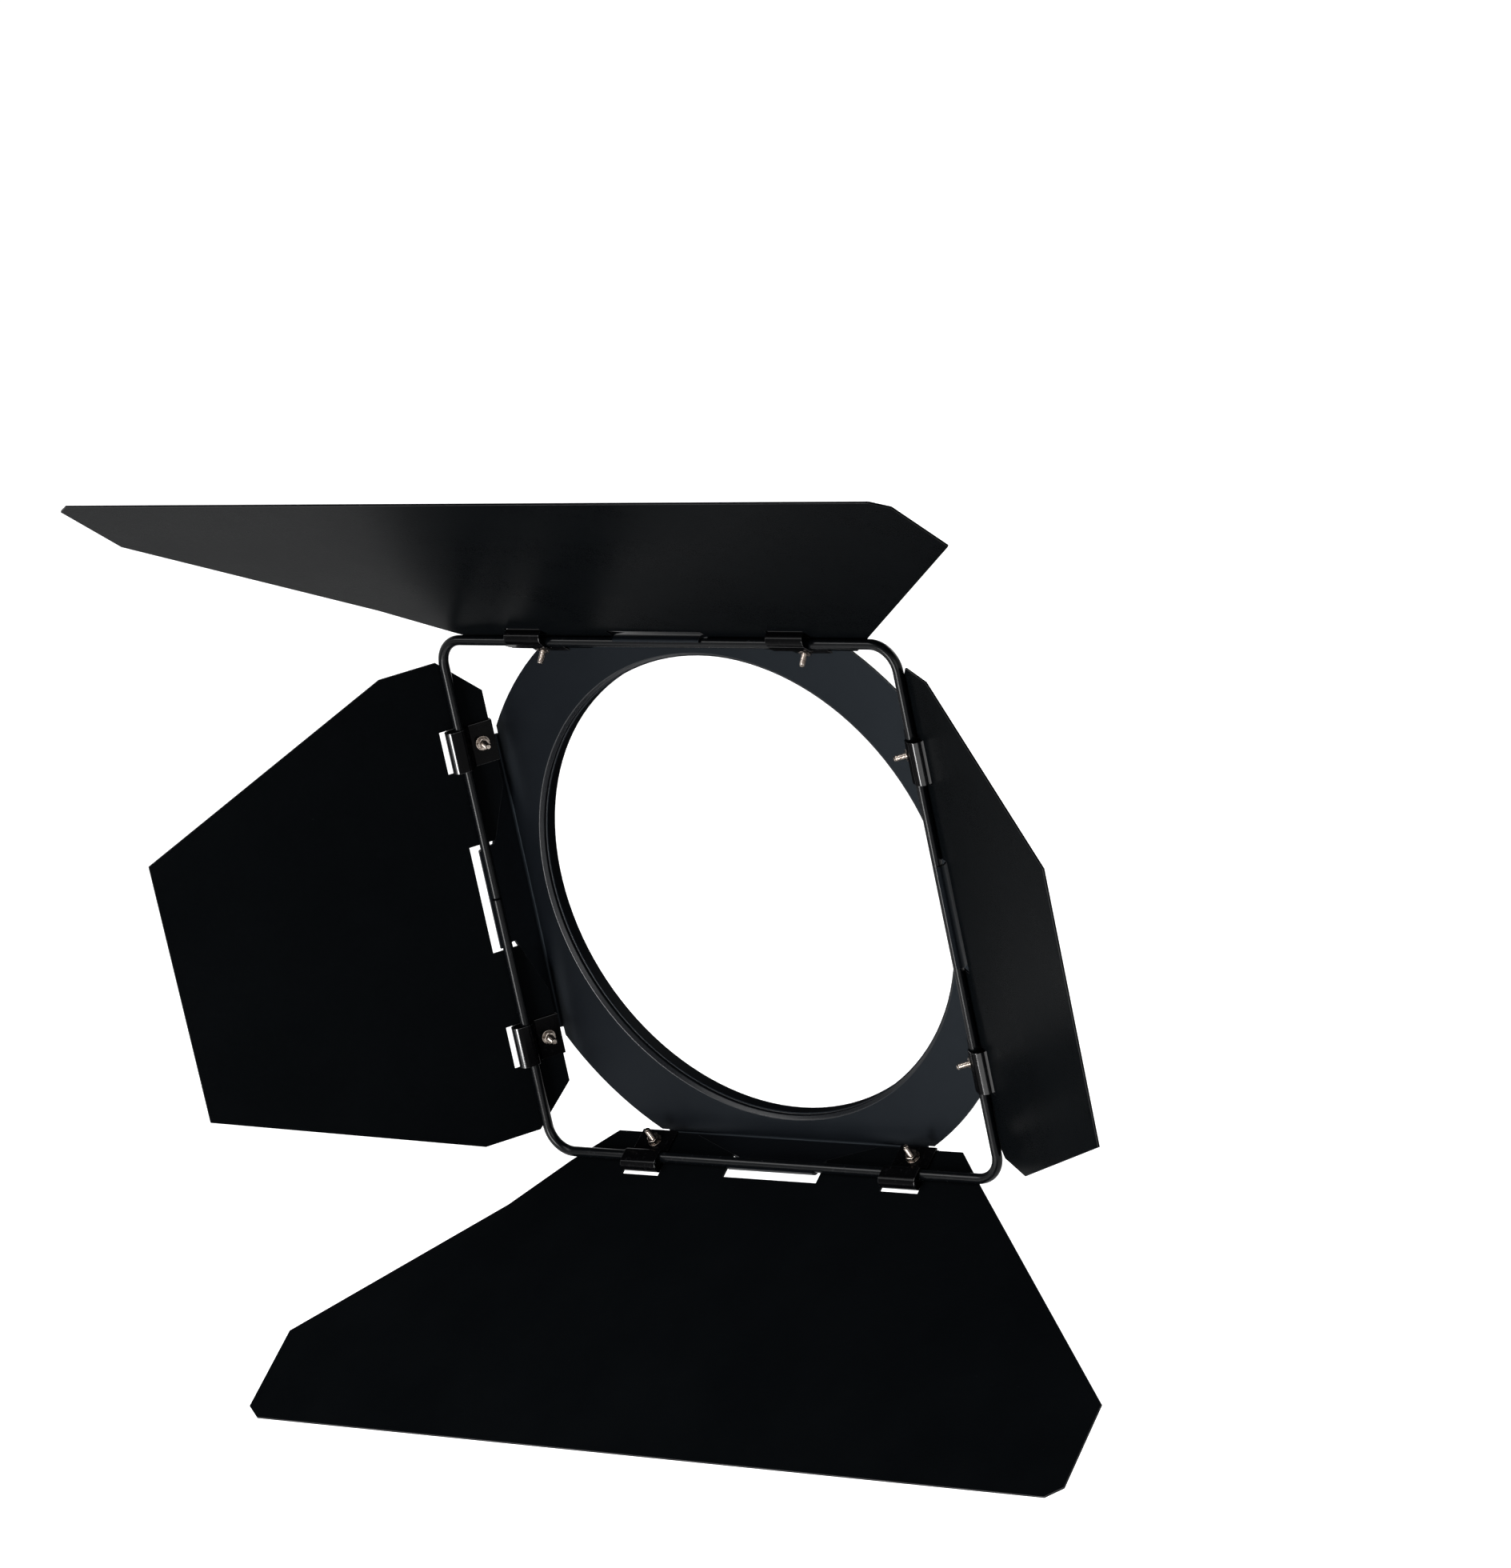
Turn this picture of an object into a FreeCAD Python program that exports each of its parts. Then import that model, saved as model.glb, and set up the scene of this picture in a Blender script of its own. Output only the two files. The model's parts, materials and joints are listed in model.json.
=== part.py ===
"""Barn door attachment for a stage lantern, in millimetres.

A sheet-metal mounting plate with a large round aperture carries a square frame of round rod on
four hooked tabs. Two large and two small flat leaves swing on the sides of that frame. Each leaf
is held by two strap clips that wrap the rod, pass through a slot in the leaf and are clamped with
a screw, a washer and a nut, so that the leaf stays at the angle where it is put.

Frame: the beam runs along -Y, so the lantern is on the +Y side, and +Z is up. The origin is the
centre of the aperture, in the plane of the mounting plate's rear face.
"""
import FreeCAD, Part
import math
import os

from FreeCAD import Placement, Rotation, Vector

# Rod frame
rod_dia = 5.0
frame_width = 263.5            # between the axes of opposite rods
frame_bend = 13.0              # centre-line radius of the rod's corners
butt_gap = 0.3                 # seam where the two ends of the rod meet

# Mounting plate
plate_sheet = 1.2
plate_dia = 301.0
aperture_dia = 233.0
rim_chamfer = 1.6              # of the fold at the aperture
collar_depth = 9.5             # front of the plate to the rear edge of the collar
collar_step_depth = 3.2        # front of the plate to the small step in the collar
collar_step = 0.8
rod_standoff = 22.2            # front of the plate to the rod's axis

# Hooked tabs
tab_lean = 3.2                 # how far the root of a tab lies inside the rod's axis
tab_bend = 1.5                 # inside radius of the fold at the root
tab_width = 50.0               # at the hook
tab_root_width = 152.0         # at the fold
tab_root_height = 3.2          # of the wide root above the plate
tab_flare = 2.65               # gain of half-width for each millimetre away from the rod
hook_wrap = 76.0               # degrees of the rod that the hook goes round
hook_tail = 0.5
neck_room = 2.8                # hook to where the leaf's cut-out starts to flare
flare_room = 1.0               # how much later the tab starts to flare than the cut-out

# Leaves
leaf_sheet = 1.0
leaf_end_room = 11.25          # axis of the side rod to the end of a leaf
flap_reach = 16.2              # rod's axis to the inner edge of the flap
flap_chamfer = 19.5
shoulder_reach = 32.0          # where the sides of a leaf change direction
large_length = 166.6
large_shoulder_width = 289.0   # twice the distance of the one shoulder from the middle
large_wing_reach = 115.5
large_width = 473.0
large_tip_chamfer = 8.1
large_tip_chamfer_depth = 6.0
small_length = 161.0
small_tip_width = 131.0
notch_room = 2.3               # between the tab and the sides of the leaf's cut-out
hook_room = 3.3                # between the hook and the outer edge of the cut-out
ear_room = 1.0                 # between the clips and the wide root of the tab

# Clips
clip_sheet = 1.0
clip_width = 20.6
clip_spacing = 152.0
clip_slack = 2.4               # rod to the bend of the clip
clip_ramp = 60.0               # degrees
clip_ear_past_flap = 1.0
clip_ear_bend = 0.6
slot_side_room = 0.4
slot_outer_room = 3.7
slot_inner_room = 0.4
running_fit = 0.05             # radial clearance of leaf and clip on the rod

# Fasteners, M3
screw_dia = 3.0
screw_length = 12.0
screw_reach = 10.5             # rod's axis to the screw
head_dia = 5.6
head_height = 2.2
head_chamfer = 1.0
nut_across_flats = 5.5
nut_height = 2.4
washer_dia = 7.0
washer_sheet = 0.5
screw_hole_room = 0.2
thread_room = 0.02

# Modelling
lap = 1.0                      # how far shapes run past each other before they are fused or cut
same_place = 1e-6              # points closer than this are one point

# Opening angle of each leaf as modelled: 0 points along the beam, 90 lies in the frame's plane
top_opening = 40.5
bottom_opening = 29.0
left_opening = 34.0
right_opening = 52.0

# Worked out from the sizes above
rod_r = rod_dia / 2
frame_half = frame_width / 2
plate_front = -plate_sheet
rod_y = plate_front - rod_standoff
aperture_r = aperture_dia / 2
hook_r = rod_r + plate_sheet
neck_reach = hook_r + neck_room
face_level = rod_r + running_fit            # rod's axis to the inner face of a leaf
hinge_half_width = frame_half - leaf_end_room
flap_half_width = hinge_half_width - flap_chamfer
ear_reach = flap_reach + clip_ear_past_flap
loop_r = (2 * face_level + leaf_sheet) / 2   # inside radius of the clip's bend
loop_reach = rod_r + clip_slack
loop_centre = loop_reach - loop_r
back_level = face_level + leaf_sheet + clip_sheet
ear_level = face_level - clip_sheet


def direction(angle):
    """Unit vector (y, z) at an angle in degrees."""
    return (math.cos(math.radians(angle)), math.sin(math.radians(angle)))


def left_of(step):
    """Unit vector to the left of a unit step in the section plane."""
    return (-step[1], step[0])


def unit_step(start, end):
    """Unit vector from one point to another in the section plane."""
    length = math.dist(start, end)
    return ((end[0] - start[0]) / length, (end[1] - start[1]) / length)


def corner_shift(step_in, step_out, distance):
    """Offset of a corner that keeps both of its lines at a distance to the left."""
    a = left_of(step_in)
    b = left_of(step_out)
    scale = distance / (1 + a[0] * b[0] + a[1] * b[1])
    return ((a[0] + b[0]) * scale, (a[1] + b[1]) * scale)


def section_point(point):
    """Point (y, z) of the section plane as a vector."""
    return Vector(0, point[0], point[1])


def bent_line(points, radii):
    """Edges through points in the section plane, with an arc of the given radius at each corner."""
    edges = []
    here = section_point(points[0])
    for i in range(1, len(points) - 1):
        step_in = Vector(0, *unit_step(points[i - 1], points[i]))
        step_out = Vector(0, *unit_step(points[i], points[i + 1]))
        corner = section_point(points[i])
        half_turn = step_in.getAngle(step_out) / 2
        setback = radii[i - 1] * math.tan(half_turn)
        arc_start = corner - step_in * setback
        arc_end = corner + step_out * setback
        if (arc_start - here).Length > same_place:
            edges.append(Part.LineSegment(here, arc_start).toShape())
        if setback > same_place:
            to_centre = (step_out - step_in).normalize()
            middle = corner + to_centre * (radii[i - 1] / math.cos(half_turn) - radii[i - 1])
            edges.append(Part.Arc(arc_start, middle, arc_end).toShape())
        here = arc_end
    last = section_point(points[-1])
    if (last - here).Length > same_place:
        edges.append(Part.LineSegment(here, last).toShape())
    return edges


def sheet_section(points, inside_radii, thickness):
    """Face of a bent sheet: points lie on one surface and the sheet is to their left.

    inside_radii holds the inside radius of each bend, and 0 leaves a sharp corner.
    """
    steps = [unit_step(points[i], points[i + 1]) for i in range(len(points) - 1)]
    far = [(points[0][0] + left_of(steps[0])[0] * thickness,
            points[0][1] + left_of(steps[0])[1] * thickness)]
    near_radii = []
    far_radii = []
    for i, radius in enumerate(inside_radii):
        shift = corner_shift(steps[i], steps[i + 1], thickness)
        far.append((points[i + 1][0] + shift[0], points[i + 1][1] + shift[1]))
        turns_left = steps[i][0] * steps[i + 1][1] - steps[i][1] * steps[i + 1][0] > 0
        outside = radius + thickness if radius > 0 else 0
        near_radii.append(outside if turns_left else radius)
        far_radii.append(radius if turns_left else outside)
    far.append((points[-1][0] + left_of(steps[-1])[0] * thickness,
                points[-1][1] + left_of(steps[-1])[1] * thickness))
    end_cap = Part.LineSegment(section_point(points[-1]), section_point(far[-1])).toShape()
    start_cap = Part.LineSegment(section_point(far[0]), section_point(points[0])).toShape()
    near_edges = bent_line(points, near_radii)
    far_edges = bent_line(far[::-1], far_radii[::-1])
    return Part.Face(Part.Wire(near_edges + [end_cap] + far_edges + [start_cap]))


def extruded_across(face, width, centre=0.0):
    """Solid from a section face, of a width along X."""
    solid = face.extrude(Vector(width, 0, 0))
    solid.translate(Vector(centre - width / 2, 0, 0))
    return solid


def prism(points, low, high):
    """Vertical prism with an outline of (x, y) points."""
    corners = [Vector(x, y, low) for x, y in points]
    face = Part.Face(Part.makePolygon(corners + corners[:1]))
    return face.extrude(Vector(0, 0, high - low))


def joined(right, left):
    """Closed outline from the points of its +X side and of its -X side, the second ones mirrored."""
    return right + [(-x, y) for x, y in reversed(left)]


def mirrored(half):
    """Closed outline from the points of its +X half."""
    return joined(half, half)


def box(x_low, x_high, y_low, y_high, z_low, z_high):
    """Box between two values along each axis."""
    return Part.makeBox(x_high - x_low, y_high - y_low, z_high - z_low, Vector(x_low, y_low, z_low))


# Rod frame and mounting plate

def wire_frame():
    """One round rod bent into a square, with its ends butted in the middle of the left side."""
    h = frame_half
    bend = frame_bend
    inset = bend * (1 - math.sqrt(0.5))
    edges = []
    here = Vector(-h, rod_y, butt_gap / 2)
    for sx, sz, upright in ((-1, 1, True), (1, 1, False), (1, -1, True), (-1, -1, False)):
        on_side = Vector(sx * h, rod_y, sz * (h - bend))
        on_level = Vector(sx * (h - bend), rod_y, sz * h)
        start, end = (on_side, on_level) if upright else (on_level, on_side)
        middle = Vector(sx * (h - inset), rod_y, sz * (h - inset))
        edges.append(Part.LineSegment(here, start).toShape())
        edges.append(Part.Arc(start, middle, end).toShape())
        here = end
    edges.append(Part.LineSegment(here, Vector(-h, rod_y, -butt_gap / 2)).toShape())
    ring = Part.Wire(Part.makeCircle(rod_r, Vector(-h, rod_y, butt_gap / 2), Vector(0, 0, 1)))
    return Part.Wire(edges).makePipeShell([ring], True, False)


def tab_angle():
    """Angle in degrees, in the section plane, of the top tab from the rod back to its root."""
    reach = math.hypot(rod_standoff, tab_lean)
    return -math.degrees(math.atan2(tab_lean, rod_standoff) + math.asin(rod_r / reach))


def plate_edge_half():
    """Where the flat of the plate ends and the fold of a tab begins."""
    half_turn = (90 + tab_angle()) / 2
    return frame_half - tab_lean - tab_bend * math.tan(math.radians(half_turn))


def tab_section():
    """Section of the top tab: round the rod's outer side, back to the plate and down its face."""
    side = left_of(direction(tab_angle()))
    hook_turn = direction(tab_angle() + hook_wrap)
    front = left_of(hook_turn)
    scale = rod_r / (1 + side[0] * front[0] + side[1] * front[1])
    crest = (rod_y + (side[0] + front[0]) * scale, frame_half + (side[1] + front[1]) * scale)
    setback = rod_r * math.tan(math.radians(hook_wrap) / 2) + hook_tail
    tip = (crest[0] - hook_turn[0] * setback, crest[1] - hook_turn[1] * setback)
    root = (plate_front, frame_half - tab_lean)
    foot = (plate_front, plate_edge_half() - lap)
    return sheet_section([tip, crest, root, foot], [rod_r, tab_bend], plate_sheet)


def tab():
    """The top tab, narrow at the hook and flared towards its fold."""
    root_y = plate_front - tab_root_height
    neck_y = rod_y + neck_reach + flare_room
    swing_y = rod_y + ear_reach + ear_room
    half = tab_width / 2
    flared = half + (swing_y - neck_y) * tab_flare
    outline = mirrored([(half, rod_y - hook_r - lap), (half, neck_y), (flared, swing_y),
                        (tab_root_width / 2, root_y), (tab_root_width / 2, lap)])
    blank = extruded_across(tab_section(), tab_root_width)
    return blank.common(prism(outline, 0, plate_dia))


def mounting_plate():
    """Flat ring with four flats, a stepped collar round the aperture and four hooked tabs."""
    step_y = plate_front + collar_step_depth
    rear_y = plate_front + collar_depth
    inner_r = aperture_r - collar_step
    section = sheet_section([(plate_front, plate_dia / 2),
                             (plate_front, aperture_r + rim_chamfer),
                             (plate_front + rim_chamfer, aperture_r),
                             (step_y, aperture_r), (step_y, inner_r), (rear_y, inner_r)],
                            [0, 0, 0, 0], plate_sheet)
    plate = section.revolve(Vector(0, 0, 0), Vector(0, 1, 0), 360)
    half = plate_edge_half()
    plate = plate.common(box(-half, half, plate_front - lap, rear_y + lap, -half, half))
    for side in range(4):
        plate = plate.fuse(turned(tab(), side))
    return plate.removeSplitter()


def turned(shape, quarter):
    """A top part turned about the beam to the top, right, bottom or left side (0 to 3)."""
    copy = shape.copy()
    copy.Placement = Placement(Vector(0, 0, 0), Rotation(Vector(0, 1, 0), 90 * quarter)) * copy.Placement
    return copy


# Leaf assemblies, built with the rod's axis along X through the origin, the leaf along -Y
# and its inner face down. Distances from the rod are measured along -Y.

def flap_side():
    """Points of a leaf's side along the flap, from behind the rod to just in front of it."""
    return [(flap_half_width, flap_reach), (hinge_half_width, flap_reach - flap_chamfer)]


def large_outline(turned_over):
    """Outline of the top and bottom leaves, which spread into wings.

    One side changes direction at a shoulder and the other runs straight. The shoulder is on the
    -X side, or on the +X side where the sheet is turned over.
    """
    half = large_width / 2
    wing = [(half, -large_wing_reach),
            (half, -(large_length - large_tip_chamfer_depth)),
            (half - large_tip_chamfer, -large_length)]
    straight = flap_side() + wing
    angled = flap_side() + [(large_shoulder_width / 2, -shoulder_reach)] + wing
    return joined(angled, straight) if turned_over else joined(straight, angled)


def small_outline():
    """Outline of the left and right leaves, which narrow towards the tip."""
    return mirrored(flap_side() + [(hinge_half_width, -shoulder_reach),
                                   (small_tip_width / 2, -small_length)])


def leaf(outline):
    """Flat leaf with the cut-out that clears the tab, two clip slots and two screw holes."""
    low = face_level
    high = face_level + leaf_sheet
    sheet = prism(outline, low, high)
    neck_half = tab_width / 2 + notch_room
    mouth_y = flap_reach + lap
    mouth_half = neck_half + (mouth_y - neck_reach) * tab_flare
    cutout = mirrored([(neck_half, -(hook_r + hook_room)), (neck_half, neck_reach),
                       (mouth_half, mouth_y)])
    sheet = sheet.cut(prism(cutout, low - lap, high + lap))
    slot_half = clip_width / 2 + slot_side_room
    slot_inner = loop_centre - slot_inner_room
    slot_outer = clip_outer_reach() + slot_outer_room
    for centre in clip_centres():
        sheet = sheet.cut(box(centre - slot_half, centre + slot_half, -slot_outer, -slot_inner,
                              low - lap, high + lap))
        sheet = sheet.cut(screw_hole(centre))
    return sheet


def clip_outer_reach():
    """Reach of the clip's outer surface where it passes the leaf's inner face."""
    outer_r = loop_r + clip_sheet
    return loop_centre + math.sqrt(outer_r ** 2 - (loop_r - leaf_sheet) ** 2)


def clip_centres():
    """Middle of each clip along the rod."""
    return (-clip_spacing / 2, clip_spacing / 2)


def screw_bore(centre, radius):
    """Cylinder along the screw's axis, long enough to pass through the whole clamp."""
    bottom = back_level + lap - screw_length
    return Part.makeCylinder(radius, screw_length, Vector(centre, screw_reach, bottom))


def screw_hole(centre):
    """Clearance hole for the screw in the leaf, the clip and the washer."""
    return screw_bore(centre, screw_dia / 2 + screw_hole_room)


def clip(centre):
    """Strap clip: ear on the flap, ramp over the rod, bend through the slot, tail on the back."""
    ramp = direction(clip_ramp)
    side = left_of(ramp)
    rod_top = 2 * face_level
    scale = face_level / (1 + side[1])
    crest = (side[0] * scale, face_level + (side[1] + 1) * scale)
    foot = (crest[0] - crest[1] * ramp[0] / ramp[1], 0.0)
    inside = [(-ear_reach, 0.0), foot, crest, (loop_reach, rod_top), (loop_reach, -leaf_sheet),
              (-ear_reach, -leaf_sheet)]
    section = sheet_section([(-u, face_level - h) for u, h in inside],
                            [clip_ear_bend, face_level, loop_r, loop_r], clip_sheet)
    return extruded_across(section, clip_width, centre).cut(screw_hole(centre))


def screw(centre):
    """Pan-head screw with its head on the back of the clip."""
    head = Part.makeCylinder(head_dia / 2, head_height, Vector(centre, screw_reach, back_level))
    rim = [edge for edge in head.Edges if edge.BoundBox.ZMin > back_level + head_height / 2]
    head = head.makeChamfer(head_chamfer, rim)
    shank = Part.makeCylinder(screw_dia / 2, screw_length,
                              Vector(centre, screw_reach, back_level - screw_length))
    return head.fuse(shank).removeSplitter()


def washer(centre):
    """Plain washer under the nut, on the clip's ear."""
    disc = Part.makeCylinder(washer_dia / 2, washer_sheet,
                             Vector(centre, screw_reach, ear_level - washer_sheet))
    return disc.cut(screw_hole(centre))


def nut(centre):
    """Hexagon nut on the washer."""
    radius = nut_across_flats / math.sqrt(3)
    top = ear_level - washer_sheet
    corners = [(centre + radius * x, screw_reach + radius * y)
               for x, y in (direction(60 * i) for i in range(6))]
    return prism(corners, top - nut_height, top).cut(screw_bore(centre, screw_dia / 2 + thread_room))


def placed(shape, opening, quarter):
    """Swing a leaf part open about its rod, set it on the top rod and turn it to its side."""
    copy = shape.copy()
    swing = Placement(Vector(0, rod_y, frame_half), Rotation(Vector(1, 0, 0), -opening))
    around = Placement(Vector(0, 0, 0), Rotation(Vector(0, 1, 0), 90 * quarter))
    copy.Placement = around * swing * copy.Placement
    return copy


def save(shape, node):
    """Write one node, and print what it holds."""
    shape.exportStep("parts/" + node + ".step")
    print(f"{node}: {len(shape.Solids)} solid(s), {shape.Volume:.1f} mm3, valid {shape.isValid()}")


def save_leaf(side, outline, opening, quarter, clip_names):
    """Write the leaf of one side with its clips and fasteners."""
    save(placed(leaf(outline), opening, quarter), side + "_leaf")
    for centre, name in zip(clip_centres(), clip_names):
        save(placed(clip(centre), opening, quarter), side + "_clip_" + name)
    for make, kind in ((screw, "screws"), (washer, "washers"), (nut, "nuts")):
        group = Part.makeCompound([make(centre) for centre in clip_centres()])
        save(placed(group, opening, quarter), side + "_" + kind)


os.makedirs("parts", exist_ok=True)
save(mounting_plate(), "mounting_plate")
save(wire_frame(), "wire_frame")
save_leaf("top", large_outline(False), top_opening, 0, ("left", "right"))
save_leaf("right", small_outline(), right_opening, 1, ("upper", "lower"))
save_leaf("bottom", large_outline(True), bottom_opening, 2, ("right", "left"))
save_leaf("left", small_outline(), left_opening, 3, ("lower", "upper"))
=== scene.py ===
"""Looks of a barn door attachment for a stage lantern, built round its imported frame.

Lengths are in metres. The beam runs along -Y, the lantern is on the +Y side and +Z is up. The
flat pieces are rounded copies of the frame's nodes, and the rod and the fasteners are modelled
here at the places that the frame gives.
"""
import json
import logging
import math
from dataclasses import dataclass, field
from enum import Enum
from typing import Any, Callable, Dict, Iterable, List, Mapping, Optional, Sequence, Tuple, Union

import bmesh
import bpy
from mathutils import Matrix, Vector


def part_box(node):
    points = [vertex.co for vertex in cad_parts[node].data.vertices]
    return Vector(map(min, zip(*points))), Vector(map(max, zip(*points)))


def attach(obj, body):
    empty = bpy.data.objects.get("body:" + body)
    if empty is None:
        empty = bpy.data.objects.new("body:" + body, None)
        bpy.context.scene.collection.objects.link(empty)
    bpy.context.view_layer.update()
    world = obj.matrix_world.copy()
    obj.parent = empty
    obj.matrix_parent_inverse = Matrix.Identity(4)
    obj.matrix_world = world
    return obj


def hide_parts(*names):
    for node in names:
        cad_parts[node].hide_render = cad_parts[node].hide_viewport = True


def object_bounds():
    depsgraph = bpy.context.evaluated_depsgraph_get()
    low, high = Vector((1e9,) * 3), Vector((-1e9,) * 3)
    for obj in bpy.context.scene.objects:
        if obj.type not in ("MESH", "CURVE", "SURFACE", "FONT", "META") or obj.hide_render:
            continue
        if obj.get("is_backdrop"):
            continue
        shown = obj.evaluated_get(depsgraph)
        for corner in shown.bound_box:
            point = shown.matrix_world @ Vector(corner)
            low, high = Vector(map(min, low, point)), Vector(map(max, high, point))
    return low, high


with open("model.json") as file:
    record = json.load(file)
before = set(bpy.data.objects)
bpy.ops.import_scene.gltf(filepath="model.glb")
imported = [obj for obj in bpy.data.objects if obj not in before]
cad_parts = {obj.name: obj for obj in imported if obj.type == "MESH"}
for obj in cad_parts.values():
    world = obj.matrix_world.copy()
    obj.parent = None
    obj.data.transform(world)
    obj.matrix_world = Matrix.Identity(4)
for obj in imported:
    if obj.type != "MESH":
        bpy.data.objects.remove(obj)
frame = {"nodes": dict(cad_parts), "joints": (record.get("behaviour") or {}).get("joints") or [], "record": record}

LOG = logging.getLogger("barn_door")
Colour = Tuple[float, float, float]
MM = 0.001
WHITE = (1.0, 1.0, 1.0, 1.0)
MERGE_DISTANCE = 0.002 * MM
COPLANAR_ANGLE = math.radians(0.4)
SHARP_ANGLE = math.radians(28)
QUARTER_TURN = math.radians(90)


# ---------------------------------------------------------------- shader expressions

class Value:
    """An output socket that takes part in arithmetic, which adds Math nodes to its graph."""

    def __init__(self, graph: "Graph", socket: bpy.types.NodeSocket) -> None:
        """Wrap a socket of a graph.

        Args:
            graph: The graph that the socket is in.
            socket: The output socket.
        """
        self.graph = graph
        self.socket = socket

    def __add__(self, other: "Number") -> "Value":
        """Sum of two values.

        Args:
            other: A value or a number.

        Returns:
            The sum.
        """
        return self.graph.math("ADD", self, other)

    __radd__ = __add__

    def __sub__(self, other: "Number") -> "Value":
        """Difference of two values.

        Args:
            other: A value or a number.

        Returns:
            The difference.
        """
        return self.graph.math("SUBTRACT", self, other)

    def __rsub__(self, other: "Number") -> "Value":
        """Difference of a number and this value.

        Args:
            other: A number.

        Returns:
            The difference.
        """
        return self.graph.math("SUBTRACT", other, self)

    def __mul__(self, other: "Number") -> "Value":
        """Product of two values.

        Args:
            other: A value or a number.

        Returns:
            The product.
        """
        return self.graph.math("MULTIPLY", self, other)

    __rmul__ = __mul__

    def at_least(self, other: "Number") -> "Value":
        """Larger of two values.

        Args:
            other: A value or a number.

        Returns:
            The larger value.
        """
        return self.graph.math("MAXIMUM", self, other)

    def above(self, other: "Number") -> "Value":
        """1 where this value is the larger one, and 0 elsewhere.

        Args:
            other: A value or a number.

        Returns:
            1 or 0.
        """
        return self.graph.math("GREATER_THAN", self, other)


Number = Union[Value, float]


class Graph:
    """The node tree of a material or of the world."""

    def __init__(self, owner: Union[bpy.types.Material, bpy.types.World]) -> None:
        """Empty the tree of a material or world and keep it.

        Args:
            owner: The material or world.
        """
        owner.use_nodes = True
        self.tree = owner.node_tree
        self.tree.nodes.clear()

    def node(self, kind: str, settings: Mapping[str, Any], inputs: Mapping[Any, Any],
             output: Union[int, str] = 0) -> Value:
        """Add a node.

        Args:
            kind: The node's type.
            settings: Its own properties, and "stops" for a ramp as (place, grey) pairs.
            inputs: Values or links of its sockets, by name or number.
            output: The output that is wanted.

        Returns:
            The wanted output.
        """
        made = self.tree.nodes.new(kind)
        for key, value in settings.items():
            if key == "stops":
                self._set_stops(made.color_ramp.elements, value)
            else:
                setattr(made, key, value)
        for key, value in inputs.items():
            if isinstance(value, Value):
                self.tree.links.new(value.socket, made.inputs[key])
            else:
                made.inputs[key].default_value = value
        return Value(self, made.outputs[output])

    @staticmethod
    def _set_stops(elements: Any, stops: Sequence[Tuple[float, float]]) -> None:
        """Give a ramp its grey stops.

        Args:
            elements: The stops of the ramp.
            stops: Place and grey of each stop.
        """
        while len(elements) < len(stops):
            elements.new(1.0)
        for element, (place, grey) in zip(elements, stops):
            element.position = place
            element.color = (grey, grey, grey, 1.0)

    def math(self, operation: str, first: Number, second: Number) -> Value:
        """Math node of two values.

        Args:
            operation: The operation.
            first: The first value.
            second: The second value.

        Returns:
            The result.
        """
        return self.node("ShaderNodeMath", {"operation": operation}, {0: first, 1: second})

    def ramp(self, value: Value, *stops: Tuple[float, float]) -> Value:
        """Value passed through a grey ramp.

        Args:
            value: The value.
            stops: Place and grey of each stop.

        Returns:
            The new value.
        """
        return self.node("ShaderNodeValToRGB", {"stops": stops}, {"Fac": value})

    def blend(self, factor: Number, first: Union[Value, Colour],
              second: Union[Value, Colour]) -> Value:
        """Mix of two colours.

        Args:
            factor: Share of the second colour.
            first: The first colour.
            second: The second colour.

        Returns:
            The mixed colour.
        """
        pair = [c if isinstance(c, Value) else (*c, 1.0) for c in (first, second)]
        sockets = {0: factor, 6: pair[0], 7: pair[1]}
        return self.node("ShaderNodeMix", {"data_type": "RGBA"}, sockets, 2)

    def place(self) -> Value:
        """Position on the object, in metres.

        Returns:
            The position.
        """
        return self.node("ShaderNodeTexCoord", {}, {}, "Object")

    def noise(self, size: float, detail: float = 2.0, rough: float = 0.5) -> Value:
        """Noise whose lumps are about a size across, in metres.

        Args:
            size: Size of a lump.
            detail: Number of finer layers.
            rough: Strength of the finer layers.

        Returns:
            The noise, from 0 to 1.
        """
        return self.node("ShaderNodeTexNoise", {}, {
            "Vector": self.place(), "Scale": 1.0 / size, "Detail": detail, "Roughness": rough})

    def seen(self) -> Value:
        """1 for rays that show the surroundings: camera, glossy and transmission rays.

        Returns:
            1 or 0.
        """
        flags = [self.node("ShaderNodeLightPath", {}, {}, name)
                 for name in ("Is Camera Ray", "Is Glossy Ray", "Is Transmission Ray")]
        return flags[0].at_least(flags[1]).at_least(flags[2])

    def finish(self, shader: Value, kind: str = "ShaderNodeOutputMaterial") -> None:
        """Link a shader to the output.

        Args:
            shader: The shader.
            kind: Type of the output node.
        """
        output = self.tree.nodes.new(kind)
        self.tree.links.new(shader.socket, output.inputs["Surface"])


# ---------------------------------------------------------------- finishes

def lifted(colour: Colour, gain: float, lift: float) -> Colour:
    """Paler tone of a colour.

    Args:
        colour: The colour.
        gain: Factor on each channel.
        lift: What is added to each channel.

    Returns:
        The paler colour.
    """
    red, green, blue = (gain * channel + lift for channel in colour)
    return red, green, blue


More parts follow.
